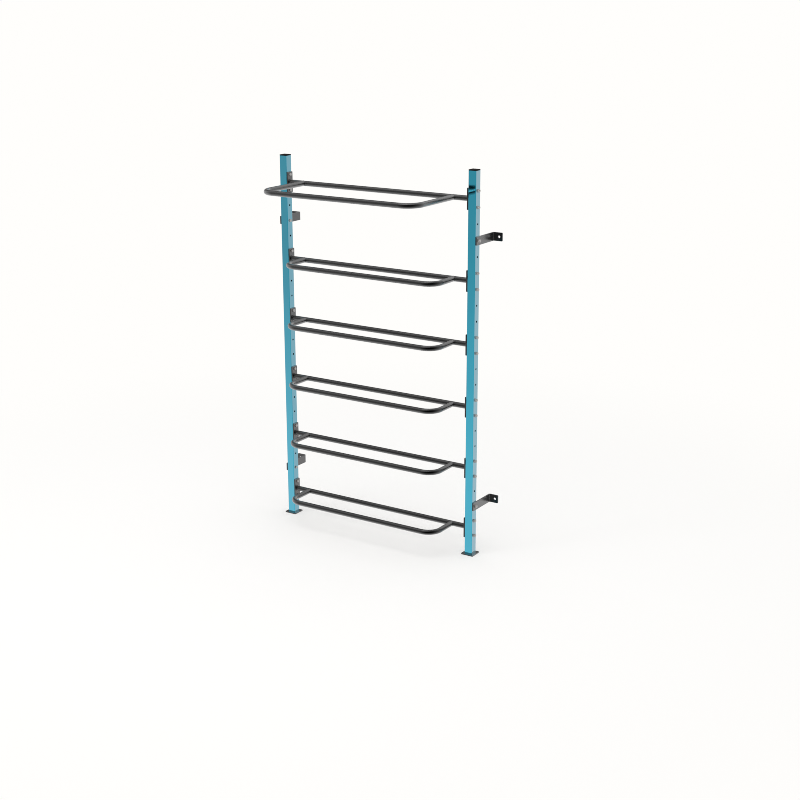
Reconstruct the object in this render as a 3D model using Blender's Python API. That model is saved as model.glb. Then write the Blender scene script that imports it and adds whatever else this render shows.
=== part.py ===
# Wall-fixed storage rack: two square uprights, six tubular shelves and four wall brackets.
# Lengths are in metres. +X is the width, +Y points to the wall and +Z is up. The origin is on the
# floor, midway across the rack's width and depth.

import math

import bmesh
import bpy
from mathutils import Matrix, Vector

# Clearance between pieces that seat on each other
SEAT_GAP = 0.0003

# Uprights: square tube with a row of bolt holes through both side walls
POST_SPACING = 1.056  # centre to centre
POST_SECTION = 0.040
POST_WALL = 0.002
POST_CORNER_RADIUS = 0.0025
HOLE_PITCH = 0.075
HOLE_COUNT = 23
HOLE_SIDES = 10
FIRST_HOLE_UP = 0.091  # lowest hole above the upright's lower end
LAST_HOLE_DOWN = 0.090  # highest hole below the upright's upper end

# Feet: flange with a sloping top, and a spigot inside the upright
FOOT_MARGIN = 0.0125  # flange beyond the upright, on each side
FOOT_CORNER_RADIUS = 0.004
FOOT_THICKNESS = 0.005
FOOT_SPIGOT_HEIGHT = 0.025

# Top caps: flat flange, and a plug inside the upright
CAP_THICKNESS = 0.0045
CAP_PLUG_DEPTH = 0.018
PLUG_LEAD_IN = 0.0015  # taper at the plug's and the spigot's free end

# Shelves: rear tube with welded end plates, and a front loop bent to a U
TUBE_DIAMETER = 0.025
TUBE_WALL = 0.002
TUBE_SIDES = 12
PLATE_THICKNESS = 0.006
PLATE_MARGIN = 0.0125  # plate beyond its bolt holes, up and down
PLATE_CORNER_RADIUS = 0.003
VENT_DIAMETER = 0.008  # in each end plate, at the end of the rear tube's bore
LOOP_DEPTH = 0.173  # rear tube's axis to the front tube's axis
LOOP_INSET = 0.104  # upright's axis to the arm's axis, along X
LOOP_BEND_RADIUS = 0.065
TOP_LOOP_DEPTH = 0.341
TOP_LOOP_INSET = 0.1075
TOP_LOOP_BEND_RADIUS = 0.075
BEND_STEPS = 5
SHELF_HOLE_STEP = 4  # holes from one shelf up to the next
TOP_SHELF_HOLE = HOLE_COUNT - 2  # hole of the top shelf's lower bolt

# Wall brackets: flat bar bent to an L
BAR_THICKNESS = 0.006
BAR_HEIGHT = 0.040
BAR_CORNER_RADIUS = 0.004
BAR_BEND_RADIUS = 0.003  # inside the bend
BAR_BEND_STEPS = 3
BRACKET_REACH = 0.123  # upright's rear face to the wall
TAB_LENGTH = 0.051
WALL_HOLE_INSET = 0.017  # wall hole's centre from the tab's free end
WALL_HOLE_DIAMETER = 0.012
WALL_HOLE_SIDES = 16
BRACKET_HOLES = {"lower": 2, "upper": HOLE_COUNT - 4}

# Bolts: hexagon head inside the rack, washer and nut outside
BOLT_DIAMETER = 0.008
BOLT_CLEARANCE = 0.001  # bolt holes are this much wider than the bolt
BOLT_SIDES = 8
HEX_ACROSS_FLATS = 0.013
HEAD_HEIGHT = 0.0053
NUT_HEIGHT = 0.0068
WASHER_DIAMETER = 0.016
WASHER_THICKNESS = 0.0016
WASHER_SIDES = 12
THREAD_PROUD = 0.002  # thread beyond the nut

# Worked out from the sizes above
HOLE_DIAMETER = BOLT_DIAMETER + BOLT_CLEARANCE
POST_BORE = POST_SECTION - 2 * POST_WALL
POST_BORE_RADIUS = max(POST_CORNER_RADIUS - POST_WALL, 0.0002)
PLUG_SIZE = POST_BORE - 2 * SEAT_GAP
POST_HEIGHT = FIRST_HOLE_UP + (HOLE_COUNT - 1) * HOLE_PITCH + LAST_HOLE_DOWN
POST_BOTTOM = FOOT_THICKNESS + SEAT_GAP
POST_TOP = POST_BOTTOM + POST_HEIGHT
FOOT_SIZE = POST_SECTION + 2 * FOOT_MARGIN
TUBE_RADIUS = TUBE_DIAMETER / 2
LOOP_WIDTH = POST_SPACING - 2 * LOOP_INSET  # arm's axis to arm's axis
TOP_LOOP_WIDTH = POST_SPACING - 2 * TOP_LOOP_INSET
SHELF_LOWER_HOLES = [*range(0, TOP_SHELF_HOLE - SHELF_HOLE_STEP + 1, SHELF_HOLE_STEP), TOP_SHELF_HOLE]
PLATE_HEIGHT = HOLE_PITCH + 2 * PLATE_MARGIN
PLATE_OUTER = POST_SPACING / 2 - POST_SECTION / 2 - SEAT_GAP
PLATE_INNER = PLATE_OUTER - PLATE_THICKNESS
WALL_PLANE = POST_SECTION / 2 + BRACKET_REACH  # from the uprights' centre plane
FRONT_EDGE = max(LOOP_DEPTH, TOP_LOOP_DEPTH) + TUBE_RADIUS
POST_Y = (FRONT_EDGE - WALL_PLANE) / 2  # puts the origin midway in the depth
CORNER_STEPS = 2
HEX_CORNER_RADIUS = HEX_ACROSS_FLATS / math.sqrt(3)


def hole_height(index):
    return POST_BOTTOM + FIRST_HOLE_UP + index * HOLE_PITCH


def clear_scene():
    for old in list(bpy.data.objects):
        bpy.data.objects.remove(old, do_unlink=True)


def make_material(name, colour, roughness, metallic):
    material = bpy.data.materials.new(name)
    material.use_nodes = True
    shader = material.node_tree.nodes["Principled BSDF"]
    shader.inputs["Base Color"].default_value = (*colour, 1.0)
    shader.inputs["Roughness"].default_value = roughness
    shader.inputs["Metallic"].default_value = metallic
    return material


def rounded_rectangle(width, depth, radius):
    points = []
    corners = ((1, 1, 0), (-1, 1, 90), (-1, -1, 180), (1, -1, 270))
    for side_x, side_y, start in corners:
        centre_x = side_x * (width / 2 - radius)
        centre_y = side_y * (depth / 2 - radius)
        for step in range(CORNER_STEPS + 1):
            angle = math.radians(start + 90 * step / CORNER_STEPS)
            points.append((centre_x + radius * math.cos(angle), centre_y + radius * math.sin(angle)))
    return points


def polygon(radius, sides, first=0.0):
    # a corner lies on the first axis, or a flat crosses it where first is half a step
    angles = [2 * math.pi * (step + first) / sides for step in range(sides)]
    return [(radius * math.cos(angle), radius * math.sin(angle)) for angle in angles]


def outward(bm):
    # closed shells get their faces turned outwards
    bmesh.ops.recalc_face_normals(bm, faces=bm.faces)
    if bm.calc_volume(signed=True) < 0:
        bmesh.ops.reverse_faces(bm, faces=bm.faces)


def finish_mesh(bm, name):
    outward(bm)
    mesh = bpy.data.meshes.new(name)
    bm.to_mesh(mesh)
    bm.free()
    return mesh


def add_stack(bm, rings, matrix=Matrix()):
    # rings are outlines with equal counts of points, each at its own height, lofted and capped
    loops = [[bm.verts.new(matrix @ Vector((x, y, z))) for x, y in outline] for outline, z in rings]
    count = len(loops[0])
    for lower, upper in zip(loops, loops[1:]):
        for i in range(count):
            j = (i + 1) % count
            bm.faces.new((lower[i], lower[j], upper[j], upper[i]))
    bm.faces.new(list(reversed(loops[0])))
    bm.faces.new(loops[-1])


def add_prism(bm, outline, low, high, matrix=Matrix()):
    add_stack(bm, [(outline, low), (outline, high)], matrix)


def add_open_prism(bm, outer, inner, low, high):
    # a tube wall between two outlines with equal counts of points
    rings = ((outer, low), (outer, high), (inner, high), (inner, low))
    rows = [[bm.verts.new((x, y, z)) for x, y in outline] for outline, z in rings]
    count = len(outer)
    for k in range(4):
        row, after = rows[k], rows[(k + 1) % 4]
        for i in range(count):
            j = (i + 1) % count
            bm.faces.new((row[i], row[j], after[j], after[i]))


def add_object(name, mesh):
    piece = bpy.data.objects.new(name, mesh)
    bpy.context.scene.collection.objects.link(piece)
    return piece


def combine(mesh, other, operation):
    # one exact Boolean between two closed meshes, given back as a plain mesh
    body = add_object("boolean_body", mesh)
    tool = add_object("boolean_tool", other)
    tool.hide_render = True
    tool.display_type = "WIRE"
    modifier = body.modifiers.new("boolean", "BOOLEAN")
    modifier.operation = operation
    modifier.solver = "EXACT"
    modifier.object = tool
    depsgraph = bpy.context.evaluated_depsgraph_get()
    result = bpy.data.meshes.new_from_object(body.evaluated_get(depsgraph))
    bpy.data.objects.remove(body)
    bpy.data.objects.remove(tool)
    bpy.data.meshes.remove(mesh)
    bpy.data.meshes.remove(other)
    return result


ALONG_X = Matrix.Rotation(math.radians(90), 4, "Y")
ALONG_Y = Matrix.Rotation(math.radians(-90), 4, "X")


def upright_mesh():
    bm = bmesh.new()
    outer = rounded_rectangle(POST_SECTION, POST_SECTION, POST_CORNER_RADIUS)
    inner = rounded_rectangle(POST_BORE, POST_BORE, POST_BORE_RADIUS)
    add_open_prism(bm, outer, inner, 0, POST_HEIGHT)
    tube = finish_mesh(bm, "upright")
    bm = bmesh.new()
    for index in range(HOLE_COUNT):
        height = FIRST_HOLE_UP + index * HOLE_PITCH
        matrix = Matrix.Translation((0, 0, height)) @ ALONG_X
        add_prism(bm, polygon(HOLE_DIAMETER / 2, HOLE_SIDES), -POST_SECTION, POST_SECTION, matrix)
    return combine(tube, finish_mesh(bm, "upright_holes"), "DIFFERENCE")


def foot_mesh():
    bm = bmesh.new()
    flange = rounded_rectangle(FOOT_SIZE, FOOT_SIZE, FOOT_CORNER_RADIUS)
    spigot = rounded_rectangle(PLUG_SIZE, PLUG_SIZE, POST_BORE_RADIUS)
    tip = rounded_rectangle(PLUG_SIZE - PLUG_LEAD_IN, PLUG_SIZE - PLUG_LEAD_IN, POST_BORE_RADIUS)
    add_stack(bm, [
        (flange, 0),
        (flange, FOOT_THICKNESS),
        (spigot, FOOT_THICKNESS),
        (spigot, FOOT_THICKNESS + FOOT_SPIGOT_HEIGHT - PLUG_LEAD_IN),
        (tip, FOOT_THICKNESS + FOOT_SPIGOT_HEIGHT),
    ])
    return finish_mesh(bm, "foot")


def top_cap_mesh():
    bm = bmesh.new()
    flange = rounded_rectangle(POST_SECTION, POST_SECTION, POST_CORNER_RADIUS)
    plug = rounded_rectangle(PLUG_SIZE, PLUG_SIZE, POST_BORE_RADIUS)
    tip = rounded_rectangle(PLUG_SIZE - PLUG_LEAD_IN, PLUG_SIZE - PLUG_LEAD_IN, POST_BORE_RADIUS)
    add_stack(bm, [
        (tip, -CAP_PLUG_DEPTH),
        (plug, -CAP_PLUG_DEPTH + PLUG_LEAD_IN),
        (plug, 0),
        (flange, 0),
        (flange, CAP_THICKNESS),
    ])
    return finish_mesh(bm, "top_cap")


def rear_rail_mesh():
    # the rear tube and its end plates are welded, so they are one body
    bm = bmesh.new()
    reach = PLATE_INNER + PLATE_THICKNESS / 2
    add_prism(bm, polygon(TUBE_RADIUS, TUBE_SIDES), -reach, reach, ALONG_X)
    rail = finish_mesh(bm, "rear_rail")
    bm = bmesh.new()
    # turned to lie along X, the outline's first axis is Z and its second is Y
    plate = rounded_rectangle(PLATE_HEIGHT, POST_SECTION, PLATE_CORNER_RADIUS)
    add_prism(bm, plate, PLATE_INNER, PLATE_OUTER, ALONG_X)
    add_prism(bm, plate, -PLATE_OUTER, -PLATE_INNER, ALONG_X)
    rail = combine(rail, finish_mesh(bm, "end_plates"), "UNION")
    bm = bmesh.new()
    bore = polygon(TUBE_RADIUS - TUBE_WALL, TUBE_SIDES)
    add_prism(bm, bore, -PLATE_INNER, PLATE_INNER, ALONG_X)
    rail = combine(rail, finish_mesh(bm, "rail_bore"), "DIFFERENCE")
    bm = bmesh.new()
    bolt_hole = polygon(HOLE_DIAMETER / 2, HOLE_SIDES)
    vent = polygon(VENT_DIAMETER / 2, HOLE_SIDES)
    near = PLATE_INNER - PLATE_THICKNESS
    far = PLATE_OUTER + PLATE_THICKNESS
    for low, high in ((near, far), (-far, -near)):
        add_prism(bm, vent, low, high, ALONG_X)
        for height in (-HOLE_PITCH / 2, HOLE_PITCH / 2):
            add_prism(bm, bolt_hole, low, high, Matrix.Translation((0, 0, height)) @ ALONG_X)
    return combine(rail, finish_mesh(bm, "plate_holes"), "DIFFERENCE")


def loop_stations(width, depth, bend_radius):
    # points along the U with their outward directions, from the left arm's rear end to the right's
    half = width / 2
    turns = [math.radians(90 * step / BEND_STEPS) for step in range(BEND_STEPS + 1)]
    left = [((-half, 0), (-1, 0))]
    for turn in turns:
        out = (-math.cos(turn), -math.sin(turn))
        point = (-half + bend_radius + bend_radius * out[0], -depth + bend_radius + bend_radius * out[1])
        left.append((point, out))
    right = [((-x, y), (-out_x, out_y)) for (x, y), (out_x, out_y) in reversed(left)]
    return left + right


def front_loop_mesh(width, depth, bend_radius):
    bm = bmesh.new()
    stations = loop_stations(width, depth, bend_radius)
    walls = []
    for radius in (TUBE_RADIUS, TUBE_RADIUS - TUBE_WALL):
        rows = []
        for (x, y), (out_x, out_y) in stations:
            rows.append([bm.verts.new((x + out_x * a, y + out_y * a, b))
                         for a, b in polygon(radius, TUBE_SIDES)])
        walls.append(rows)
    for rows in walls:
        for row, after in zip(rows, rows[1:]):
            for i in range(TUBE_SIDES):
                j = (i + 1) % TUBE_SIDES
                bm.faces.new((row[i], row[j], after[j], after[i]))
    for end in (0, -1):
        outer, inner = walls[0][end], walls[1][end]
        for i in range(TUBE_SIDES):
            j = (i + 1) % TUBE_SIDES
            bm.faces.new((outer[i], outer[j], inner[j], inner[i]))
    loop = finish_mesh(bm, "front_loop")
    # the arms' ends are cut to a saddle round the rear tube
    bm = bmesh.new()
    saddle = polygon(TUBE_RADIUS + SEAT_GAP, TUBE_SIDES)
    add_prism(bm, saddle, -width, width, ALONG_X)
    return combine(loop, finish_mesh(bm, "saddle"), "DIFFERENCE")


def wall_bracket_mesh():
    # right-hand bracket, with its origin on the upright's side face at the bolt's height
    outer_bend = BAR_BEND_RADIUS + BAR_THICKNESS
    outline = [(0, -POST_SECTION / 2), (BAR_THICKNESS, -POST_SECTION / 2)]
    for step in range(BAR_BEND_STEPS + 1):
        angle = math.radians(180 - 90 * step / BAR_BEND_STEPS)
        outline.append((outer_bend + BAR_BEND_RADIUS * math.cos(angle),
                        WALL_PLANE - outer_bend + BAR_BEND_RADIUS * math.sin(angle)))
    outline += [(TAB_LENGTH, WALL_PLANE - BAR_THICKNESS), (TAB_LENGTH, WALL_PLANE)]
    for step in range(BAR_BEND_STEPS + 1):
        angle = math.radians(90 + 90 * step / BAR_BEND_STEPS)
        outline.append((outer_bend + outer_bend * math.cos(angle),
                        WALL_PLANE - outer_bend + outer_bend * math.sin(angle)))
    bm = bmesh.new()
    add_prism(bm, outline, -BAR_HEIGHT / 2, BAR_HEIGHT / 2)
    front, side = -POST_SECTION / 2, TAB_LENGTH
    tolerance = BAR_THICKNESS / 100
    corners = []
    for edge in bm.edges:
        a, b = (vert.co for vert in edge.verts)
        level = abs(a.z - b.z) < tolerance
        at_front = abs(a.y - front) < tolerance and abs(b.y - front) < tolerance
        at_side = abs(a.x - side) < tolerance and abs(b.x - side) < tolerance
        if level and (at_front or at_side):
            corners.append(edge)
    bmesh.ops.bevel(bm, geom=corners, offset=BAR_CORNER_RADIUS, segments=CORNER_STEPS,
                    profile=0.5, affect="EDGES")
    bar = finish_mesh(bm, "wall_bracket")
    bm = bmesh.new()
    bolt_hole = polygon(HOLE_DIAMETER / 2, HOLE_SIDES)
    add_prism(bm, bolt_hole, -BAR_THICKNESS, 2 * BAR_THICKNESS, ALONG_X)
    wall_hole = polygon(WALL_HOLE_DIAMETER / 2, WALL_HOLE_SIDES)
    place = Matrix.Translation((TAB_LENGTH - WALL_HOLE_INSET, WALL_PLANE, 0)) @ ALONG_Y
    add_prism(bm, wall_hole, -2 * BAR_THICKNESS, BAR_THICKNESS, place)
    return combine(bar, finish_mesh(bm, "bracket_holes"), "DIFFERENCE")


def bolt_mesh(grip):
    # along +X from the underside of the head at the origin, with the washer and nut threaded on
    washer_end = grip + WASHER_THICKNESS
    nut_end = washer_end + NUT_HEIGHT
    bm = bmesh.new()
    add_prism(bm, polygon(BOLT_DIAMETER / 2, BOLT_SIDES), -HEAD_HEIGHT / 2, nut_end + THREAD_PROUD, ALONG_X)
    bolt = finish_mesh(bm, "bolt")
    # the hexagons stand with a flat upwards
    hexagon = polygon(HEX_CORNER_RADIUS, 6, 0.5)
    bm = bmesh.new()
    add_prism(bm, hexagon, -HEAD_HEIGHT, 0, ALONG_X)
    add_prism(bm, polygon(WASHER_DIAMETER / 2, WASHER_SIDES), grip, washer_end, ALONG_X)
    bolt = combine(bolt, finish_mesh(bm, "head_and_washer"), "UNION")
    bm = bmesh.new()
    add_prism(bm, hexagon, washer_end - WASHER_THICKNESS / 2, nut_end, ALONG_X)
    return combine(bolt, finish_mesh(bm, "nut"), "UNION")


def smooth(mesh, degrees=40):
    mesh.shade_smooth()
    mesh.set_sharp_from_angle(angle=math.radians(degrees))


def give(mesh, material):
    mesh.materials.clear()
    mesh.materials.append(material)
    smooth(mesh)
    return mesh


def place(name, mesh, location, parent, turn=None):
    piece = add_object(name, mesh)
    piece.parent = parent
    piece.location = location
    if turn:
        piece.rotation_euler = turn
    return piece


def make_frame(name, location, parent=None):
    frame = bpy.data.objects.new(name, None)
    bpy.context.scene.collection.objects.link(frame)
    frame.empty_display_size = POST_SECTION
    frame.location = location
    frame.parent = parent
    return frame


HALF_TURN_Z = (0, 0, math.pi)
HALF_TURN_Y = (0, math.pi, 0)
SIDES = {"left": -1, "right": 1}


def build():
    clear_scene()
    paint = make_material("upright_paint", (0.036, 0.330, 0.460), 0.22, 0.0)
    coat = make_material("shelf_coat", (0.030, 0.030, 0.032), 0.32, 0.6)
    plastic = make_material("cap_plastic", (0.012, 0.012, 0.013), 0.40, 0.0)
    foot_plastic = make_material("foot_plastic", (0.020, 0.021, 0.022), 0.15, 0.0)
    zinc = make_material("bolt_zinc", (0.55, 0.55, 0.54), 0.30, 1.0)

    # everything hangs on one empty in the uprights' centre plane, at floor level
    rack = make_frame("rack_frame", (0, POST_Y, 0))
    upright = give(upright_mesh(), paint)
    foot = give(foot_mesh(), foot_plastic)
    cap = give(top_cap_mesh(), plastic)
    for side, sign in SIDES.items():
        x = sign * POST_SPACING / 2
        place("upright_" + side, upright, (x, 0, POST_BOTTOM), rack)
        place("foot_" + side, foot, (x, 0, 0), rack)
        place("top_cap_" + side, cap, (x, 0, POST_TOP + SEAT_GAP), rack)

    rail = give(rear_rail_mesh(), coat)
    loop = give(front_loop_mesh(LOOP_WIDTH, LOOP_DEPTH, LOOP_BEND_RADIUS), coat)
    top_loop = give(front_loop_mesh(TOP_LOOP_WIDTH, TOP_LOOP_DEPTH, TOP_LOOP_BEND_RADIUS), coat)
    shelf_bolt = give(bolt_mesh(PLATE_THICKNESS + POST_SECTION + 3 * SEAT_GAP), zinc)
    top_shelf = len(SHELF_LOWER_HOLES)
    for number, lower_hole in enumerate(SHELF_LOWER_HOLES, start=1):
        # moving a shelf's empty by whole pitches bolts the shelf at other holes
        shelf = make_frame(f"shelf_{number}", (0, 0, hole_height(lower_hole) + HOLE_PITCH / 2), rack)
        place(f"shelf_{number}_rear_rail", rail, (0, 0, 0), shelf)
        place(f"shelf_{number}_front_loop", top_loop if number == top_shelf else loop, (0, 0, 0), shelf)
        for side, sign in SIDES.items():
            for level, up in (("lower", -1), ("upper", 1)):
                location = (sign * (PLATE_INNER - SEAT_GAP), 0, up * HOLE_PITCH / 2)
                turn = HALF_TURN_Z if sign < 0 else None
                place(f"shelf_{number}_bolt_{side}_{level}", shelf_bolt, location, shelf, turn)

    bracket = give(wall_bracket_mesh(), coat)
    bracket_bolt = give(bolt_mesh(POST_SECTION + BAR_THICKNESS + 3 * SEAT_GAP), zinc)
    for level, hole in BRACKET_HOLES.items():
        for side, sign in SIDES.items():
            name = f"{level}_{side}"
            height = hole_height(hole)
            outer_face = sign * (POST_SPACING / 2 + POST_SECTION / 2 + SEAT_GAP)
            inner_face = sign * (POST_SPACING / 2 - POST_SECTION / 2 - SEAT_GAP)
            place("wall_bracket_" + name, bracket, (outer_face, 0, height), rack,
                  HALF_TURN_Y if sign < 0 else None)
            place("bracket_bolt_" + name, bracket_bolt, (inner_face, 0, height), rack,
                  HALF_TURN_Z if sign < 0 else None)


build()
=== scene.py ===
# Dresses the wall-fixed storage rack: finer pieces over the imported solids, with their finishes,
# a floor and studio light. Lengths are in metres. +X is the width, +Y points to the wall, +Z is up.

import math

import bmesh
import bpy
from mathutils import Matrix, Vector


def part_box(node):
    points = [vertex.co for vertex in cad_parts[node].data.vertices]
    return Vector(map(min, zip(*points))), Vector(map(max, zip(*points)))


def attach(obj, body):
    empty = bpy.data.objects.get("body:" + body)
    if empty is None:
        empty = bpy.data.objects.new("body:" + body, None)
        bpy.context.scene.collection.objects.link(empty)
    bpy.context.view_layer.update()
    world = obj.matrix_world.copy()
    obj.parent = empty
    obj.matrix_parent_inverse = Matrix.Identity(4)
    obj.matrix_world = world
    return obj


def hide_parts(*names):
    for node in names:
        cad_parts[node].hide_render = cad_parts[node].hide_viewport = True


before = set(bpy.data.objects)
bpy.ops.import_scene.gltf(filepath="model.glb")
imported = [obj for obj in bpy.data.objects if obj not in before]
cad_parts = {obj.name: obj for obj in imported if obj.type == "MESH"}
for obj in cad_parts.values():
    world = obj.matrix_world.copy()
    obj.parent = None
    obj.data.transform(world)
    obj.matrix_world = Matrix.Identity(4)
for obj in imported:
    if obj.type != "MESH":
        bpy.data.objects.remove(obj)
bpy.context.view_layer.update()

cameraView = {
    "place": (3.77222, -5.52294, 2.68398),
    "turn": (73.56375, 0.15400, 32.87117),  # degrees
    "lens": 65.2686,
    "sensor": 36.0,
    "reach": 200.0,
}


def makeCamera():
    data = bpy.data.cameras.new("photoCamera")
    data.lens = cameraView["lens"]
    data.sensor_width = cameraView["sensor"]
    data.clip_end = cameraView["reach"]
    camera = bpy.data.objects.new("photoCamera", data)
    camera.location = cameraView["place"]
    camera.rotation_euler = [math.radians(angle) for angle in cameraView["turn"]]
    bpy.context.scene.collection.objects.link(camera)
    bpy.context.scene.camera = camera


makeCamera()
print("camera made")


# tools for modelling by hand

modelling = {
    "pointing": 0.9,  # least cosine at which a face or an edge counts as pointing that way
    "near": 0.0001,  # closer than this counts as at the place
    "merge": 0.00002,
    "speck": 0.000005,  # shorter edges are dissolved
    "bevelAngle": 40,  # degrees, past which an edge is softened
    "bevelSteps": 3,
    "flatWeight": 60,
    "narrow": 0.0012,  # narrower faces lie on a rounded edge
}
pointing, near = modelling["pointing"], modelling["near"]
alongX = (0, math.pi / 2, 0)
alongY = (-math.pi / 2, 0, 0)


def letGo():
    if bpy.context.mode != "OBJECT":
        bpy.ops.object.mode_set(mode="OBJECT")
    bpy.ops.object.select_all(action="DESELECT")


def takeUp(piece):
    letGo()
    piece.select_set(True)
    bpy.context.view_layer.objects.active = piece


def openUp(piece):
    takeUp(piece)
    bpy.ops.object.mode_set(mode="EDIT")


def settle(name):
    # leaves a new primitive unturned and unscaled, with its place in its mesh
    bpy.ops.object.transform_apply(location=True, rotation=True, scale=True)
    piece = bpy.context.active_object
    piece.name = name
    return piece


def startBlock(name, low, high):
    letGo()
    middle = [(a + b) / 2 for a, b in zip(low, high)]
    size = [b - a for a, b in zip(low, high)]
    bpy.ops.mesh.primitive_cube_add(size=1, location=middle, scale=size)
    return settle(name)


def startRod(name, sides, radius, start, length, turn=alongX):
    # a closed rod from start, along +X, or along +Y where it is turned so
    letGo()
    half = Vector((length / 2, 0, 0) if turn == alongX else (0, length / 2, 0))
    bpy.ops.mesh.primitive_cylinder_add(vertices=sides, radius=radius, depth=length,
                                        location=Vector(start) + half, rotation=turn)
    return settle(name)


def startRing(name, steps, radius, thickness, middle, turn):
    letGo()
    bpy.ops.mesh.primitive_torus_add(major_segments=steps[0], minor_segments=steps[1],
                                     major_radius=radius, minor_radius=thickness,
                                     location=middle, rotation=turn)
    return settle(name)


def pick(piece, kind, wanted):
    # selects the faces or edges that a test on their middle and direction wants
    bpy.ops.mesh.select_mode(type=kind)
    bpy.ops.mesh.select_all(action="DESELECT")
    mesh = bmesh.from_edit_mesh(piece.data)
    if kind == "FACE":
        for face in mesh.faces:
            face.select_set(wanted(face.calc_center_median(), face.normal))
    else:
        for edge in mesh.edges:
            a, b = (vert.co for vert in edge.verts)
            edge.select_set(wanted((a + b) / 2, (b - a).normalized()))
    mesh.select_flush_mode()
    bmesh.update_edit_mesh(piece.data)


def pickFacing(piece, direction):
    toward = Vector(direction)
    pick(piece, "FACE", lambda place, normal: normal.dot(toward) > pointing)


def pickAlong(piece, axis):
    pick(piece, "EDGE", lambda place, along: abs(getattr(along, axis)) > pointing)


def pullOut(step, scale=None, centre=None):
    # extrudes what is selected, and scales its new end about a centre
    bpy.ops.mesh.extrude_region_move(TRANSFORM_OT_translate={"value": step})
    if scale:
        bpy.ops.transform.resize(value=scale, center_override=centre)


def roundEdges(offset, steps):
    bpy.ops.mesh.bevel(offset=offset, segments=steps, affect="EDGES", clamp_overlap=True)


def useModifier(piece, kind, **settings):
    takeUp(piece)
    modifier = piece.modifiers.new(kind.lower(), kind)
    for key, value in settings.items():
        setattr(modifier, key, value)
    bpy.ops.object.modifier_apply(modifier=modifier.name)


def softenEdges(piece, width, steps=modelling["bevelSteps"]):
    useModifier(piece, "BEVEL", width=width, segments=steps, limit_method="ANGLE",
                angle_limit=math.radians(modelling["bevelAngle"]))


def giveWall(piece, thickness):
    useModifier(piece, "SOLIDIFY", thickness=thickness, offset=-1, use_even_offset=True)


def cut(piece, tool, how="DIFFERENCE"):
    useModifier(piece, "BOOLEAN", operation=how, solver="EXACT", object=tool)
    bpy.data.objects.remove(tool, do_unlink=True)


def holeTool(radius, centre, thickness, lip, turn=alongX, sides=24):
    # a round cutter that leaves a small lip at both mouths of a hole through a wall
    axis = Vector((1, 0, 0)) if turn == alongX else Vector((0, 1, 0))
    centre = Vector(centre)
    between = thickness - 2 * lip
    tool = startRod("holeTool", sides, radius, centre - axis * between / 2, between, turn)
    grow = (radius + lip) / radius
    wide = (1, grow, grow) if turn == alongX else (grow, 1, grow)
    openUp(tool)
    for side in (-1, 1):
        pickFacing(tool, axis * side)
        pullOut(axis * side * lip, wide, centre + axis * side * thickness / 2)
        pullOut(axis * side * thickness / 4)
    letGo()
    return tool


def smoothOff(piece, degrees=35):
    # soft over the rounded edges, flat over the flat faces
    openUp(piece)
    bpy.ops.mesh.select_all(action="SELECT")
    bpy.ops.mesh.dissolve_degenerate(threshold=modelling["speck"])
    takeUp(piece)
    bpy.ops.object.shade_smooth_by_angle(angle=math.radians(degrees))
    useModifier(piece, "WEIGHTED_NORMAL", keep_sharp=True, weight=modelling["flatWeight"])


def tidyShell(piece):
    openUp(piece)
    bpy.ops.mesh.select_all(action="SELECT")
    bpy.ops.mesh.remove_doubles(threshold=modelling["merge"])
    bpy.ops.mesh.normals_make_consistent(inside=False)
    letGo()


def markPoints(piece, name, values):
    piece.data.attributes.new(name, "FLOAT", "POINT").data.foreach_set("value", values)


def markEdges(piece, narrow=modelling["narrow"]):
    # points with only narrow faces round them lie on a rounded edge, where a finish wears
    mesh = bmesh.new()
    mesh.from_mesh(piece.data)
    width = {}
    for face in mesh.faces:
        width[face.index] = 2 * face.calc_area() / max(face.calc_perimeter(), 1e-9)
    worn = []
    for vert in mesh.verts:
        worn.append(float(all(width[face.index] < narrow for face in vert.link_faces)))
    mesh.free()
    markPoints(piece, "edgeMark", worn)


def joinTo(piece, others):
    takeUp(piece)
    for other in others:
        other.select_set(True)
    bpy.ops.object.join()


def placeCopy(master, name, matrix):
    piece = master.copy()
    piece.data = master.data.copy()
    piece.data.transform(matrix)
    piece.name = name
    piece.data.name = name
    bpy.context.scene.collection.objects.link(piece)
    return piece


def middleOf(node):
    low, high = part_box(node)
    return (low + high) / 2


def dress(piece, node, slotName):
    piece.name = piece.data.name = node + "_dressed"
    piece.data.materials.clear()
    piece.data.materials.append(finish[slotName])
    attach(piece, "root")
    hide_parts(node)


def dressPair(first, start, slotName):
    # the left piece of a pair, and a copy of it on the right
    left, right = start + "_left", start + "_right"
    second = placeCopy(first, right, Matrix.Translation(middleOf(right) - middleOf(left)))
    dress(first, left, slotName)
    dress(second, right, slotName)


# tools for the finishes and the light

def addNode(tree, kind, **settings):
    node = tree.nodes.new(kind)
    for key, value in settings.items():
        setattr(node, key, value)
    return node


def mathNode(tree, operation, first, second=None, third=None):
    node = addNode(tree, "ShaderNodeMath", operation=operation)
    for index, value in enumerate((first, second, third)):
        if value is None:
            continue
        if isinstance(value, (int, float)):
            node.inputs[index].default_value = value
        else:
            tree.links.new(value, node.inputs[index])
    return node.outputs[0]


def rangeNode(tree, value, low, high, newLow=0.0, newHigh=1.0):
    node = addNode(tree, "ShaderNodeMapRange", interpolation_type="SMOOTHSTEP")
    tree.links.new(value, node.inputs["Value"])
    node.inputs["From Min"].default_value = low
    node.inputs["From Max"].default_value = high
    node.inputs["To Min"].default_value = newLow
    node.inputs["To Max"].default_value = newHigh
    return node.outputs["Result"]


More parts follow.
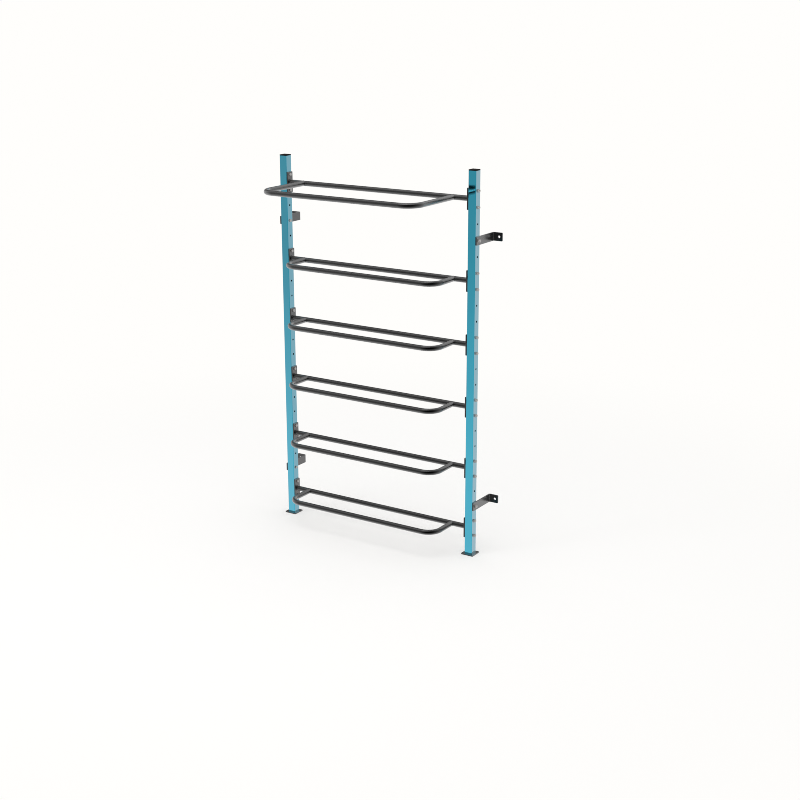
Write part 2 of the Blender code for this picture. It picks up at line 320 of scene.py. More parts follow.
def noiseNode(tree, vector, scale, pattern):
    node = addNode(tree, "ShaderNodeTexNoise")
    tree.links.new(vector, node.inputs["Vector"])
    if isinstance(scale, (int, float)):
        node.inputs["Scale"].default_value = scale
    else:
        tree.links.new(scale, node.inputs["Scale"])
    node.inputs["Detail"].default_value = pattern["detail"]
    node.inputs["Roughness"].default_value = pattern["roughness"]
    return node.outputs["Fac"]


def mixColour(tree, amount, first, second):
    node = addNode(tree, "ShaderNodeMix", data_type="RGBA")
    for index, value in ((0, amount), (6, first), (7, second)):
        if isinstance(value, tuple):
            node.inputs[index].default_value = (*value, 1.0)
        else:
            tree.links.new(value, node.inputs[index])
    return node.outputs[2]


def mixShader(tree, amount, first, second):
    node = addNode(tree, "ShaderNodeMixShader")
    for index, value in enumerate((amount, first, second)):
        tree.links.new(value, node.inputs[index])
    return node.outputs[0]


# node groups that several finishes share

patterns = {
    "skin": {"detail": 1.0, "roughness": 0.4},
    "drift": {"detail": 3.0, "roughness": 0.55, "span": (0.3, 0.7)},
    "wear": {"detail": 4.0, "roughness": 0.6, "span": (0.42, 0.66)},
    "dust": {"scale": 22.0, "detail": 5.0, "roughness": 0.6, "span": (0.35, 0.7), "least": 0.3,
             "facingUp": (0.55, 1.0)},
}


def startGroup(name, inputs, outputs):
    # a group of plain numbers, whose inputs come with a first value
    group = bpy.data.node_groups.new(name, "ShaderNodeTree")
    for socketName, value in inputs.items():
        socket = group.interface.new_socket(name=socketName, in_out="INPUT",
                                            socket_type="NodeSocketFloat")
        socket.default_value = value
    for socketName in outputs:
        group.interface.new_socket(name=socketName, in_out="OUTPUT", socket_type="NodeSocketFloat")
    given = addNode(group, "NodeGroupInput").outputs
    result = addNode(group, "NodeGroupOutput").inputs
    place = addNode(group, "ShaderNodeTexCoord").outputs["Object"]
    return group, given, result, place


def makeCoatSkin():
    # the slight waviness of a baked coat, as a height, and a slow drift of its tone
    group, given, result, place = startGroup("coatSkin", {"Scale": 300.0, "Drift Scale": 4.0},
                                             ("Height", "Drift"))
    fine = noiseNode(group, place, given["Scale"], patterns["skin"])
    slow = noiseNode(group, place, given["Drift Scale"], patterns["drift"])
    group.links.new(fine, result["Height"])
    group.links.new(rangeNode(group, slow, *patterns["drift"]["span"]), result["Drift"])
    return group


def makeEdgeWear():
    # a broken mask along the rounded edges
    group, given, result, place = startGroup("edgeWear", {"Amount": 0.5, "Scale": 120.0},
                                             ("Mask",))
    mark = addNode(group, "ShaderNodeAttribute", attribute_name="edgeMark").outputs["Fac"]
    broken = noiseNode(group, place, given["Scale"], patterns["wear"])
    broken = rangeNode(group, broken, *patterns["wear"]["span"])
    mask = mathNode(group, "MULTIPLY", mathNode(group, "MULTIPLY", mark, broken), given["Amount"])
    group.links.new(mask, result["Mask"])
    return group


def makeSettledDust():
    # a thin uneven veil on what faces up
    dust = patterns["dust"]
    group, given, result, place = startGroup("settledDust", {"Amount": 0.1}, ("Mask",))
    facing = addNode(group, "ShaderNodeSeparateXYZ")
    group.links.new(addNode(group, "ShaderNodeNewGeometry").outputs["Normal"], facing.inputs[0])
    up = rangeNode(group, facing.outputs["Z"], *dust["facingUp"])
    patch = noiseNode(group, place, dust["scale"], dust)
    patch = rangeNode(group, patch, *dust["span"], dust["least"], 1.0)
    mask = mathNode(group, "MULTIPLY", mathNode(group, "MULTIPLY", up, patch), given["Amount"])
    group.links.new(mask, result["Mask"])
    return group


coatSkin = makeCoatSkin()
edgeWear = makeEdgeWear()
settledDust = makeSettledDust()


def useGroup(tree, group, values):
    node = addNode(tree, "ShaderNodeGroup", node_tree=group)
    for name, value in values.items():
        node.inputs[name].default_value = value
    return node.outputs


# finishes: the metals mirror the studio in their own colour, which turns to white edge-on

tealCoat = {
    "colour": (0.028, 0.440, 0.612),
    "deeper": (0.022, 0.420, 0.590),
    "worn": (0.110, 0.500, 0.640),
    "wear": 0.35,
    "wearScale": 160.0,
    "edgePower": 1.83,
    "edgeGain": 1.34,
    "dust": 0.03,
    "dustColour": (0.6, 0.6, 0.6),
    # painted shade for the holes: the tube's inside and the holes' lips, near-black
    "inside": (0.012, 0.016, 0.018),
    "insideRougher": 0.6,
    "metal": 1.0,
    "roughness": (0.030, 0.045),
    "skinScale": 420.0,
    "driftScale": 3.0,
    "bump": 0.12,
    "bumpHeight": 0.0002,
}
darkCoat = {
    "colour": (0.009, 0.009, 0.009),
    "deeper": (0.006, 0.006, 0.006),
    "worn": (0.130, 0.128, 0.125),
    "wear": 0.45,
    "wearScale": 180.0,
    "edgePower": 1.40,
    "edgeGain": 0.72,
    "dust": 0.05,
    "dustColour": (0.45, 0.44, 0.42),
    "metal": 1.0,
    "roughness": (0.24, 0.30),
    "skinScale": 520.0,
    "driftScale": 5.0,
    "bump": 0.1,
    "bumpHeight": 0.0002,
}
capPlastic = {
    "colour": (0.012, 0.010, 0.009),
    "worn": (0.024, 0.022, 0.021),
    "wear": 0.5,
    "wearScale": 300.0,
    "dust": 0.03,
    "dustColour": (0.3, 0.29, 0.27),
    "metal": 0.0,
    "specular": 0.02,
    "roughness": (0.75, 0.88),
    "skinScale": 1400.0,
    "driftScale": 30.0,
    "bump": 0.35,
    "bumpHeight": 0.0002,
}
footGloss = {
    "colour": (0.020, 0.021, 0.022),
    "worn": (0.09, 0.088, 0.084),
    "wear": 0.6,
    "wearScale": 220.0,
    "edgePower": 1.6,
    "edgeGain": 0.8,
    "dust": 0.08,
    "dustColour": (0.4, 0.39, 0.37),
    "metal": 1.0,
    "roughness": (0.04, 0.08),
    "skinScale": 400.0,
    "driftScale": 18.0,
    "bump": 0.15,
    "bumpHeight": 0.0002,
}
boltZinc = {
    "colour": (0.58, 0.57, 0.55),
    "deeper": (0.42, 0.41, 0.40),
    "worn": (0.75, 0.75, 0.74),
    "wear": 0.5,
    "wearScale": 400.0,
    "metal": 0.55,
    "roughness": (0.30, 0.45),
    "skinScale": 900.0,
    "driftScale": 160.0,
    "bump": 0.2,
    "bumpHeight": 0.0001,
}
edgeOnColour = (1.0, 1.0, 1.0)


def edgeGlow(tree, power, gain):
    # how far a coat turns to plain mirror as it is seen more edge-on
    facing = addNode(tree, "ShaderNodeLayerWeight")
    facing.inputs["Blend"].default_value = 0.5
    curve = mathNode(tree, "POWER", facing.outputs["Facing"], power)
    return mathNode(tree, "MINIMUM", mathNode(tree, "MULTIPLY", curve, gain), 1.0)


def makeFinish(name, plan):
    material = bpy.data.materials.new(name)
    material.use_nodes = True
    tree = material.node_tree
    shader = tree.nodes["Principled BSDF"]
    skin = useGroup(tree, coatSkin, {"Scale": plan["skinScale"], "Drift Scale": plan["driftScale"]})
    wear = useGroup(tree, edgeWear, {"Amount": plan["wear"], "Scale": plan["wearScale"]})
    colour = plan["colour"]
    if "deeper" in plan:
        colour = mixColour(tree, skin["Drift"], colour, plan["deeper"])
    colour = mixColour(tree, wear["Mask"], colour, plan["worn"])
    if "edgePower" in plan:
        glow = edgeGlow(tree, plan["edgePower"], plan["edgeGain"])
        colour = mixColour(tree, glow, colour, edgeOnColour)
    if "dust" in plan:
        dust = useGroup(tree, settledDust, {"Amount": plan["dust"]})
        colour = mixColour(tree, dust["Mask"], colour, plan["dustColour"])
    rough = rangeNode(tree, skin["Drift"], 0, 1, *plan["roughness"])
    if "inside" in plan:
        # painted shade: the tube's inside and the lips of its holes are near-black, darker than a
        # bare inside would be, so the holes read as shaded
        holeShadeMask = addNode(tree, "ShaderNodeAttribute", attribute_name="insideMark").outputs["Fac"]
        colour = mixColour(tree, holeShadeMask, colour, plan["inside"])
        rough = mathNode(tree, "MULTIPLY_ADD", holeShadeMask, plan["insideRougher"], rough)
    tree.links.new(colour, shader.inputs["Base Color"])
    tree.links.new(rough, shader.inputs["Roughness"])
    shader.inputs["Metallic"].default_value = plan["metal"]
    if "specular" in plan:
        shader.inputs["Specular IOR Level"].default_value = plan["specular"]
    bump = addNode(tree, "ShaderNodeBump")
    bump.inputs["Strength"].default_value = plan["bump"]
    bump.inputs["Distance"].default_value = plan["bumpHeight"]
    tree.links.new(skin["Height"], bump.inputs["Height"])
    tree.links.new(bump.outputs["Normal"], shader.inputs["Normal"])
    return material


finish = {
    "upright_paint": makeFinish("tealCoat", tealCoat),
    "shelf_coat": makeFinish("darkCoat", darkCoat),
    "cap_plastic": makeFinish("capPlastic", capPlastic),
    "foot_plastic": makeFinish("footGloss", footGloss),
    "bolt_zinc": makeFinish("boltZinc", boltZinc),
}
print("finishes made")


# uprights

upright = {
    "cornerRadius": 0.0025,
    "cornerSteps": 4,
    "wall": 0.002,
    "holeRadius": 0.0045,
    "holeLip": 0.0004,
    "firstHoleUp": 0.091,
    "holePitch": 0.075,
    "holeCount": 23,
}


def makeUpright(node):
    low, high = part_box(node)
    middle = (low + high) / 2
    piece = startBlock(node, low, high)
    openUp(piece)
    pickAlong(piece, "z")
    roundEdges(upright["cornerRadius"], upright["cornerSteps"])
    pick(piece, "FACE", lambda place, normal: abs(normal.z) > pointing)
    bpy.ops.mesh.delete(type="FACE")
    letGo()
    giveWall(piece, upright["wall"])
    first = (middle.x, middle.y, low.z + upright["firstHoleUp"])
    tool = holeTool(upright["holeRadius"], first, high.x - low.x, upright["holeLip"])
    useModifier(tool, "ARRAY", count=upright["holeCount"], use_relative_offset=False,
                use_constant_offset=True, constant_offset_displace=(0, 0, upright["holePitch"]))
    cut(piece, tool)
    smoothOff(piece)
    markEdges(piece)
    # the points that take the holes' painted shade: the holes' lips and what lies deeper, measured
    # from the rounded outer faces
    flat = (high.x - low.x) / 2 - upright["cornerRadius"]
    skin = upright["cornerRadius"] - upright["holeLip"] + near
    inside = []
    for point in piece.data.vertices:
        across = max(abs(point.co.x - middle.x) - flat, 0)
        away = max(abs(point.co.y - middle.y) - flat, 0)
        inside.append(float(math.hypot(across, away) < skin))
    markPoints(piece, "insideMark", inside)
    return piece


dressPair(makeUpright("upright_left"), "upright", "upright_paint")
print("uprights made")


# feet

foot = {
    "cornerRadius": 0.004,
    "cornerSteps": 5,
    "thickness": 0.005,
    "spigotInset": 0.0023,
    "leadIn": 0.0015,
    "hollowInset": 0.006,
    "hollowDepth": 0.0015,
    "edge": 0.0006,
    "smooth": 30,  # degrees
}


def makeFoot(node, post):
    low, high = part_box(node)
    postLow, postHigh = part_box(post)
    postWidth = postHigh.x - postLow.x
    middle = (low + high) / 2
    seat = low.z + foot["thickness"]
    piece = startBlock(node, low, (high.x, high.y, seat))
    openUp(piece)
    pickAlong(piece, "z")
    roundEdges(foot["cornerRadius"], foot["cornerSteps"])
    pickFacing(piece, (0, 0, 1))
    # the upright stands on the flange, and the spigot goes up inside it
    shrink = (postWidth - 2 * foot["spigotInset"]) / (high.x - low.x)
    pullOut((0, 0, 0), (shrink, shrink, 1), (middle.x, middle.y, seat))
    pullOut((0, 0, high.z - seat - foot["leadIn"]))
    taper = 1 - foot["leadIn"] / postWidth
    pullOut((0, 0, foot["leadIn"]), (taper, taper, 1), (middle.x, middle.y, high.z))
    # a shallow hollow underneath
    pickFacing(piece, (0, 0, -1))
    bpy.ops.mesh.inset(thickness=foot["hollowInset"], use_even_offset=True)
    pullOut((0, 0, foot["hollowDepth"]))
    letGo()
    softenEdges(piece, foot["edge"])
    smoothOff(piece, foot["smooth"])
    markEdges(piece)
    return piece


dressPair(makeFoot("foot_left", "upright_left"), "foot", "foot_plastic")


# top caps

topCap = {
    "cornerRadius": 0.0025,
    "cornerSteps": 4,
    "thickness": 0.0045,
    "plugInset": 0.0023,
    "plugWall": 0.002,
    "edge": 0.0006,
    "smooth": 30,  # degrees
}


def makeTopCap(node):
    low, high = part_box(node)
    piece = startBlock(node, (low.x, low.y, high.z - topCap["thickness"]), high)
    openUp(piece)
    pickAlong(piece, "z")
    roundEdges(topCap["cornerRadius"], topCap["cornerSteps"])
    pickFacing(piece, (0, 0, -1))
    bpy.ops.mesh.inset(thickness=topCap["plugInset"], use_even_offset=True)
    depth = high.z - topCap["thickness"] - low.z
    pullOut((0, 0, -depth))
    # the plug is a hollow moulding
    bpy.ops.mesh.inset(thickness=topCap["plugWall"], use_even_offset=True)
    pullOut((0, 0, depth))
    letGo()
    softenEdges(piece, topCap["edge"])
    smoothOff(piece, topCap["smooth"])
    markEdges(piece)
    return piece


dressPair(makeTopCap("top_cap_left"), "top_cap", "cap_plastic")
print("feet and caps made")


# shelves

shelf = {
    "count": 6,
    "tubeRadius": 0.0125,
    "tubeWall": 0.002,
    "tubeSides": 48,
    "plateThickness": 0.006,
    "plateCorner": 0.003,
    "plateCornerSteps": 5,
    "plateEdge": 0.0006,
    "holeRadius": 0.0045,
    "holePitch": 0.075,
    "holeLip": 0.0003,
    "ventRadius": 0.004,
    "weldRadius": 0.0026,
    "weldSteps": (88, 10),
    "weldSunk": 0.25,  # of its radius, into the plate
    "weldProud": 0.0003,
    "weldRipple": 0.00025,
    "weldRipples": 22,
}


def makeRearRail(node):
    low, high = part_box(node)
    middle = (low + high) / 2
    thickness = shelf["plateThickness"]
    lip = shelf["holeLip"]
    inner = high.x - thickness
    tube = startRod(node, shelf["tubeSides"], shelf["tubeRadius"],
                    (-inner - thickness / 2, middle.y, middle.z), 2 * inner + thickness)
    for side in (-1, 1):
        start = inner if side > 0 else -high.x
        plate = startBlock("plate", (start, low.y, low.z), (start + thickness, high.y, high.z))
        openUp(plate)
        pickAlong(plate, "x")
        roundEdges(shelf["plateCorner"], shelf["plateCornerSteps"])
        letGo()
        softenEdges(plate, shelf["plateEdge"])
        cut(tube, plate, "UNION")
    bore = startRod("bore", shelf["tubeSides"], shelf["tubeRadius"] - shelf["tubeWall"],
                    (-inner, middle.y, middle.z), 2 * inner)
    cut(tube, bore)
    for side in (-1, 1):
        across = side * (inner + thickness / 2)
        for up in (-1, 1):
            place = (across, middle.y, middle.z + up * shelf["holePitch"] / 2)
            cut(tube, holeTool(shelf["holeRadius"], place, thickness, lip))
        vent = (across, middle.y, middle.z)
        cut(tube, holeTool(shelf["ventRadius"], vent, thickness, lip))
    smoothOff(tube)
    markEdges(tube)
    weldPlace = inner - shelf["weldRadius"] * shelf["weldSunk"]
    joinTo(tube, [makeWeldRing(side * weldPlace, middle) for side in (-1, 1)])
    return tube


def makeWeldRing(across, middle):
    # a rippled bead round the tube where it meets its plate
    bead = startRing("weldRing", shelf["weldSteps"], shelf["tubeRadius"] + shelf["weldProud"],
                     shelf["weldRadius"], (across, middle.y, middle.z), alongX)
    for point in bead.data.vertices:
        away = Vector((0, point.co.y - middle.y, point.co.z - middle.z))
        wave = math.cos(shelf["weldRipples"] * math.atan2(away.z, away.y))
        point.co += away.normalized() * shelf["weldRipple"] * (wave - 1)
    bpy.ops.object.shade_smooth()
    return bead


frontLoop = {
    "sides": 40,
    "bendSteps": 14,
    "bendRadius": 0.065,
    "topBendRadius": 0.075,
    "seatGap": 0.0003,
    "weldRadius": 0.0022,
    "weldSteps": (72, 10),
    "weldThinnest": 0.45,  # of its radius, where the tubes only touch
    "weldRipple": 0.10,
    "weldRipples": 20,
}


def makeFrontLoop(node, rail, bendRadius):
    low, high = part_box(node)
    radius = shelf["tubeRadius"]
    height = (low.z + high.z) / 2
    left, right, front, rear = low.x + radius, high.x - radius, low.y + radius, middleOf(rail).y
    letGo()
    bpy.ops.mesh.primitive_circle_add(vertices=frontLoop["sides"], radius=radius,
                                      fill_type="NOTHING", location=(left, rear, height),
                                      rotation=(math.pi / 2, 0, 0))
    piece = settle(node)
    openUp(piece)
    pick(piece, "EDGE", lambda place, along: True)

    def bend(centreX):
        # a quarter turn to the left, as seen from above
        bpy.ops.mesh.spin(steps=frontLoop["bendSteps"], angle=-math.pi / 2,
                          center=(centreX, front + bendRadius, height), axis=(0, 0, 1))

    # down the left arm, round the bend, across, round again and back up the right arm
    pullOut((0, front + bendRadius - rear, 0))
    bend(left + bendRadius)
    pullOut((right - left - 2 * bendRadius, 0, 0))
    bend(right - bendRadius)
    pullOut((0, rear - front - bendRadius, 0))
    letGo()
    tidyShell(piece)
    giveWall(piece, shelf["tubeWall"])
    saddle = startRod("saddle", shelf["tubeSides"], radius + frontLoop["seatGap"],
                      (low.x - radius, rear, height), right - left + 4 * radius)
    cut(piece, saddle)
    smoothOff(piece)
    joinTo(piece, [makeWeldSaddle(Vector((across, rear, height))) for across in (left, right)])
    return piece


def makeWeldSaddle(middle):
    # the bead follows the curve where the arm meets the rear tube, and thins where they only touch
    radius = shelf["tubeRadius"]
    thinnest = frontLoop["weldThinnest"]
    piece = startRing("weldSaddle", frontLoop["weldSteps"], radius, frontLoop["weldRadius"],
                      middle, (math.pi / 2, 0, 0))
    for point in piece.data.vertices:
        offset = point.co - middle
        turn = math.atan2(offset.z, offset.x)
        core = Vector((radius * math.cos(turn), 0, radius * math.sin(turn)))
        slant = abs(math.cos(turn))
        ripple = frontLoop["weldRipple"] * (1 - math.cos(turn * frontLoop["weldRipples"])) / 2
        swell = (thinnest + (1 - thinnest) * slant) * (1 - ripple)
        point.co = middle + core + Vector((0, -radius * slant, 0)) + (offset - core) * swell
    bpy.ops.object.shade_smooth()
    return piece


topShelf = shelf["count"]
firstRail = makeRearRail("shelf_1_rear_rail")
firstLoop = makeFrontLoop("shelf_1_front_loop", "shelf_1_rear_rail", frontLoop["bendRadius"])
topLoop = makeFrontLoop(f"shelf_{topShelf}_front_loop", f"shelf_{topShelf}_rear_rail",
                        frontLoop["topBendRadius"])
for number in range(1, topShelf + 1):
    railNode = f"shelf_{number}_rear_rail"
    loopNode = f"shelf_{number}_front_loop"
    lift = Matrix.Translation(middleOf(railNode) - middleOf("shelf_1_rear_rail"))
    rail = firstRail if number == 1 else placeCopy(firstRail, railNode, lift)
    dress(rail, railNode, "shelf_coat")
    if number == topShelf:
        loop = topLoop
    else:
        loop = firstLoop if number == 1 else placeCopy(firstLoop, loopNode, lift)
    dress(loop, loopNode, "shelf_coat")
print("shelves made")


# wall brackets

bracket = {
    "thickness": 0.006,
    "innerBend": 0.003,
    "bendSteps": 10,
    "corner": 0.004,
    "cornerSteps": 5,
    "edge": 0.0005,
    "boltHole": 0.0045,
    "wallHole": 0.006,
    "wallHoleSides": 32,
    "wallHoleInset": 0.017,
    "holeLip": 0.0004,
}


def makeBracket(node, post):
    # the right-hand bracket, from its front end to the wall and out to its tab
    low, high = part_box(node)
    thickness = bracket["thickness"]
    turnRadius = bracket["innerBend"] + thickness
    middleZ = (low.z + high.z) / 2
    bendX, bendY = low.x + turnRadius, high.y - turnRadius
    piece = startBlock(node, low, (low.x + thickness, bendY, high.z))
    openUp(piece)
    pickFacing(piece, (0, 1, 0))
    bpy.ops.mesh.delete(type="ONLY_FACE")
    pick(piece, "EDGE", lambda place, along: place.y > bendY - near)
    bpy.ops.mesh.spin(steps=bracket["bendSteps"], angle=math.pi / 2,
                      center=(bendX, bendY, middleZ), axis=(0, 0, 1))
    pullOut((high.x - bendX, 0, 0))
    bpy.ops.mesh.edge_face_add()
    letGo()
    tidyShell(piece)
    openUp(piece)

    def endCorner(place, along):
        atFront = place.y < low.y + near and abs(along.x) > pointing
        atSide = place.x > high.x - near and abs(along.y) > pointing
        return (atFront or atSide) and abs(place.z - middleZ) > (high.z - low.z) / 2 - near

    pick(piece, "EDGE", endCorner)
    roundEdges(bracket["corner"], bracket["cornerSteps"])
    letGo()
    softenEdges(piece, bracket["edge"])
    boltPlace = (low.x + thickness / 2, middleOf(post).y, middleZ)
    cut(piece, holeTool(bracket["boltHole"], boltPlace, thickness, bracket["holeLip"]))
    wallPlace = (high.x - bracket["wallHoleInset"], high.y - thickness / 2, middleZ)
    cut(piece, holeTool(bracket["wallHole"], wallPlace, thickness, bracket["holeLip"], alongY,
                        bracket["wallHoleSides"]))
    smoothOff(piece)
    markEdges(piece)
    return piece


firstBracketNode = "wall_bracket_lower_right"
firstBracket = makeBracket(firstBracketNode, "upright_right")
for level in ("lower", "upper"):
    for side in ("right", "left"):
        node = f"wall_bracket_{level}_{side}"
        piece = firstBracket
        if node != firstBracketNode:
            turn = Matrix.Rotation(math.pi if side == "left" else 0, 4, "Y")
            start = Matrix.Translation(-middleOf(firstBracketNode))
            piece = placeCopy(firstBracket, node,
                              Matrix.Translation(middleOf(node)) @ turn @ start)
        dress(piece, node, "shelf_coat")
print("brackets made")


# bolts with washer and nut

bolt = {
    "radius": 0.004,
    "sides": 24,
    "acrossFlats": 0.013,
    "headHeight": 0.0053,
    "grip": 0.0469,
    "washerRadius": 0.008,
    "washerThickness": 0.0016,
    "washerSides": 40,
    "washerEdge": 0.0002,
    "washerEdgeSteps": 2,
    "nutHeight": 0.0068,
    "sunk": (0.002, 0.0002),  # the shank into the head, and the nut into the washer
    "chamfer": 0.0008,
    "chamferSides": 48,
    "chamferWide": 1.02,  # of the hexagon's reach to its corners
    "chamferFlat": 0.475,  # of its width across flats
    # past the nut: steps along the shank with the radius after each, round a thread groove
    "tip": ((0.0003, 0.0040), (0.0005, 0.0035), (0.0002, 0.0035), (0.0004, 0.0040),
            (0.0006, 0.0032)),
    "smooth": 28,  # degrees
    "narrow": 0.0006,
}


def makeTurnedHexagon(start, length, ends):
    # a hexagon turned down at the corners of one or both ends
    reach = bolt["acrossFlats"] / math.sqrt(3)
    wide, flat = reach * bolt["chamferWide"], bolt["acrossFlats"] * bolt["chamferFlat"]
    chamfer = bolt["chamfer"]
    hexagon = startRod("hexagon", 6, reach, (start, 0, 0), length)
    shoulder = start + (chamfer if -1 in ends else 0)
    turned = startRod("turned", bolt["chamferSides"], wide, (shoulder, 0, 0),
                      length - chamfer * len(ends))
    openUp(turned)
    for end in ends:
        pickFacing(turned, (end, 0, 0))
        tip = start if end < 0 else start + length
        pullOut((end * chamfer, 0, 0), (1, flat / wide, flat / wide), (tip, 0, 0))
    letGo()
    cut(hexagon, turned, "INTERSECT")
    return hexagon


def makeBolt():
    # along +X from the underside of its head
    shankSunk, nutSunk = bolt["sunk"]
    washerEnd = bolt["grip"] + bolt["washerThickness"]
    nutEnd = washerEnd + bolt["nutHeight"]
    shank = startRod("bolt", bolt["sides"], bolt["radius"], (-shankSunk, 0, 0),
                     nutEnd + shankSunk)
    openUp(shank)
    pickFacing(shank, (1, 0, 0))
    end, radius = nutEnd, bolt["radius"]
    for step, newRadius in bolt["tip"]:
        end += step
        pullOut((step, 0, 0), (1, newRadius / radius, newRadius / radius), (end, 0, 0))
        radius = newRadius
    letGo()
    head = makeTurnedHexagon(-bolt["headHeight"], bolt["headHeight"], (-1,))
    nut = makeTurnedHexagon(washerEnd - nutSunk, bolt["nutHeight"] + nutSunk, (-1, 1))
    washer = startRod("washer", bolt["washerSides"], bolt["washerRadius"], (bolt["grip"], 0, 0),
                      bolt["washerThickness"])
    softenEdges(washer, bolt["washerEdge"], bolt["washerEdgeSteps"])
    for part in (head, washer, nut):
        cut(shank, part, "UNION")
    smoothOff(shank, bolt["smooth"])
    markEdges(shank, bolt["narrow"])
    return shank


firstBolt = makeBolt()
boltNodes = sorted(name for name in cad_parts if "_bolt_" in name)
for node in boltNodes:
    low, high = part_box(node)
    middle = (low + high) / 2
    if middle.x > 0:
        matrix = Matrix.Translation((low.x + bolt["headHeight"], middle.y, middle.z))
    else:
        matrix = (Matrix.Translation((high.x - bolt["headHeight"], middle.y, middle.z))
                  @ Matrix.Rotation(math.pi, 4, "Z"))
    dress(placeCopy(firstBolt, node, matrix), node, "bolt_zinc")
bpy.data.objects.remove(firstBolt, do_unlink=True)
print(len(boltNodes), "bolts made")


# floor, room and lamps

room = {
    "floorSize": 160,
    "floorColour": (0.90, 0.895, 0.885),
    "white": (1.0, 0.991, 0.973),
    "glow": 0.36,  # how plainly white the floor shows even close to the rack
    "fadeStart": 1.2,  # from the rack's middle, where the lit floor starts to turn plain white
    "fadeEnd": 3.6,
    "fill": 0.95,
    "pixelSoftness": 0.9,
}
# the studio as the metal mirrors it: how bright it is by direction, of length 1
studio = {
    "walls": (0.54, 0.65),  # front and rear
    "wallsTurn": (-0.80, 0.80),  # the directions' Y from front to rear
    "ground": (0.92, 0.80),  # front and rear
    "groundTurn": (-0.30, 0.50),
    "groundHeights": (-0.10, -0.90),  # the directions' Z over which walls give way to ground
    "groundShine": 0.28,  # more on the ground in front
    "shineHeights": ((-0.16, -0.35), (-0.62, -0.40)),
    "shineToward": (((-0.57, -0.82, 0.0), 0.50, 0.80), ((0.77, -0.64, 0.0), 0.35, 0.80)),
    "stripLight": 1.8,
    "stripMiddle": -0.06,
    "stripHalfWidth": (0.12, 0.50),
    "stripHeights": (0.30, 0.80),
    "stripTurn": (0.50, -0.60),
    "patchEdge": 0.08,
    "darkest": 0.02,
}
# patches: direction, outer and inner cosine, the height it starts at, and how much it adds
studioPatches = {
    "darkDoorway": {"toward": (0.56, -0.78, 0.26), "outer": 0.76, "inner": 0.93,
                    "start": 0.0, "change": -0.62},
    "darkCorner": {"toward": (-0.62, 0.48, 0.62), "outer": 0.74, "inner": 1.00,
                   "start": -0.9, "change": -0.50},
    "darkSkirting": {"toward": (-0.60, 0.80, 0.05), "outer": 0.80, "inner": 1.00,
                     "start": -0.9, "change": -0.15},
    "overheadPanel": {"toward": (-0.20, 0.05, 0.98), "outer": 0.90, "inner": 0.99,
                      "start": 0.0, "change": 0.60},
}


def makeFloor():
    letGo()
    bpy.ops.mesh.primitive_plane_add(size=room["floorSize"], location=(0, 0, 0))
    floor = bpy.context.active_object
    floor.name = "studioFloor"
    material = bpy.data.materials.new("studioFloor")
    material.use_nodes = True
    tree = material.node_tree
    tree.nodes.clear()
    lit = addNode(tree, "ShaderNodeBsdfDiffuse")
    lit.inputs["Color"].default_value = (*room["floorColour"], 1)
    plain = addNode(tree, "ShaderNodeEmission")
    plain.inputs["Color"].default_value = (*room["white"], 1)
    distance = addNode(tree, "ShaderNodeVectorMath", operation="LENGTH")
    tree.links.new(addNode(tree, "ShaderNodeTexCoord").outputs["Object"], distance.inputs[0])
    whiter = rangeNode(tree, distance.outputs["Value"], room["fadeStart"], room["fadeEnd"],
                       room["glow"], 1.0)
    seen = addNode(tree, "ShaderNodeLightPath").outputs["Is Camera Ray"]
    surface = mixShader(tree, mathNode(tree, "MULTIPLY", whiter, seen),
                        lit.outputs[0], plain.outputs[0])
    out = addNode(tree, "ShaderNodeOutputMaterial")
    tree.links.new(surface, out.inputs["Surface"])
    floor.visible_glossy = False  # the metal sees the studio's ground instead
    floor.data.materials.append(material)


def towardNode(tree, direction, toward, outer, inner, amount=1.0):
    # a round patch of the studio, from nothing at its outer cosine to the amount at its inner one
    node = addNode(tree, "ShaderNodeVectorMath", operation="DOT_PRODUCT")
    tree.links.new(direction, node.inputs[0])
    node.inputs[1].default_value = toward
    return rangeNode(tree, node.outputs["Value"], outer, inner, 0.0, amount)


def studioLevel(tree):
    direction = addNode(tree, "ShaderNodeTexCoord").outputs["Generated"]
    split = addNode(tree, "ShaderNodeSeparateXYZ")
    tree.links.new(direction, split.inputs[0])
    across, away, height = split.outputs["X"], split.outputs["Y"], split.outputs["Z"]
    level = rangeNode(tree, away, *studio["wallsTurn"], *studio["walls"])
    for patch in studioPatches.values():
        toward = Vector(patch["toward"]).normalized()
        part = towardNode(tree, direction, toward, patch["outer"], patch["inner"],
                          patch["change"])
        above = rangeNode(tree, height, patch["start"] - studio["patchEdge"],
                          patch["start"] + studio["patchEdge"])
        level = mathNode(tree, "MULTIPLY_ADD", part, above, level)
    # a long soft light overhead, from the front to above the rack
    offCentre = mathNode(tree, "SUBTRACT", across, studio["stripMiddle"])
    offCentre = mathNode(tree, "ABSOLUTE", offCentre)
    strip = rangeNode(tree, offCentre, *studio["stripHalfWidth"], studio["stripLight"], 0.0)
    strip = mathNode(tree, "MULTIPLY", strip, rangeNode(tree, height, *studio["stripHeights"]))
    strip = mathNode(tree, "MULTIPLY", strip, rangeNode(tree, away, *studio["stripTurn"]))
    level = mathNode(tree, "ADD", level, strip)
    below = rangeNode(tree, height, *studio["groundHeights"])
    ground = rangeNode(tree, away, *studio["groundTurn"], *studio["ground"])
    keep = mathNode(tree, "MULTIPLY", level, mathNode(tree, "SUBTRACT", 1.0, below))
    level = mathNode(tree, "MULTIPLY_ADD", below, ground, keep)
    # the bright ground in front, seen low in the uprights' faces and corners
    upper, lower = studio["shineHeights"]
    band = mathNode(tree, "MULTIPLY", rangeNode(tree, height, *upper),
                    rangeNode(tree, height, *lower))
    sides = [towardNode(tree, direction, *aim) for aim in studio["shineToward"]]
    band = mathNode(tree, "MULTIPLY", band, mathNode(tree, "MAXIMUM", *sides))
    level = mathNode(tree, "MULTIPLY_ADD", band, studio["groundShine"], level)
    return mathNode(tree, "MAXIMUM", level, studio["darkest"])


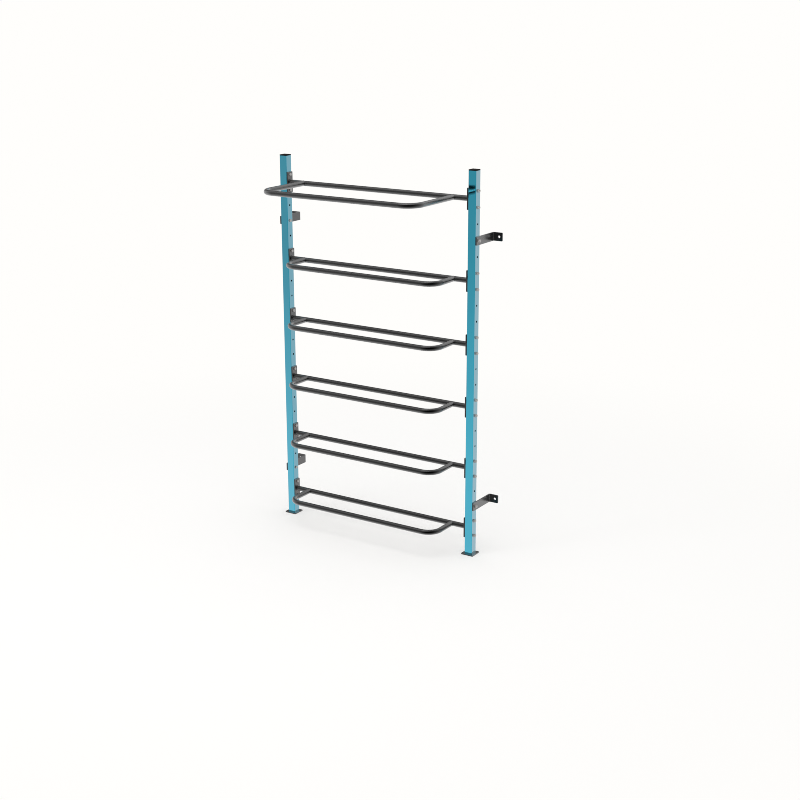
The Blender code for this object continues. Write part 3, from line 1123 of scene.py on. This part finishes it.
def lightNode(tree, colour, strength=1.0):
    node = addNode(tree, "ShaderNodeBackground")
    node.inputs["Color"].default_value = (*colour, 1)
    node.inputs["Strength"].default_value = strength
    return node


def makeWorld():
    # an even light for what is lit, the studio for what mirrors, and white for the camera
    world = bpy.data.worlds.new("studioRoom")
    bpy.context.scene.world = world
    world.use_nodes = True
    tree = world.node_tree
    tree.nodes.clear()
    fill = lightNode(tree, (1, 1, 1), room["fill"])
    mirrored = lightNode(tree, (1, 1, 1))
    tree.links.new(studioLevel(tree), mirrored.inputs["Strength"])
    backdrop = lightNode(tree, room["white"])
    path = addNode(tree, "ShaderNodeLightPath").outputs
    light = mixShader(tree, path["Is Glossy Ray"], fill.outputs[0], mirrored.outputs[0])
    light = mixShader(tree, path["Is Camera Ray"], light, backdrop.outputs[0])
    tree.links.new(light, addNode(tree, "ShaderNodeOutputWorld").inputs["Surface"])


lamps = {
    "overhead": {"place": (0.5, -0.9, 4.5), "aim": (0, 0, 0.8),
                 "size": 2.5, "power": 30, "lights": "diffuse"},
    "frontLeft": {"place": (-3.0, -4.5, 4.5), "aim": (0, 0, 0.5),
                  "size": 2.0, "power": 40, "lights": "diffuse"},
    "topGlint": {"place": (0.48, -0.33, 1.98), "aim": (0.41, -0.22, 1.71),
                 "size": 0.36, "power": 0.5, "lights": "glossy"},
}


def makeLamp(name, plan):
    data = bpy.data.lights.new(name, "AREA")
    data.shape = "DISK"
    data.size = plan["size"]
    data.energy = plan["power"]
    lamp = bpy.data.objects.new(name, data)
    lamp.location = plan["place"]
    aim = Vector(plan["aim"]) - Vector(plan["place"])
    lamp.rotation_euler = aim.to_track_quat("-Z", "Y").to_euler()
    lamp.visible_camera = False
    lamp.visible_glossy = plan["lights"] == "glossy"
    lamp.visible_diffuse = plan["lights"] == "diffuse"
    bpy.context.scene.collection.objects.link(lamp)


makeFloor()
makeWorld()
for lampName, lampPlan in lamps.items():
    makeLamp(lampName, lampPlan)
bpy.context.scene.view_settings.view_transform = "Standard"
bpy.context.scene.cycles.filter_width = room["pixelSoftness"]
print("room and lamps made")
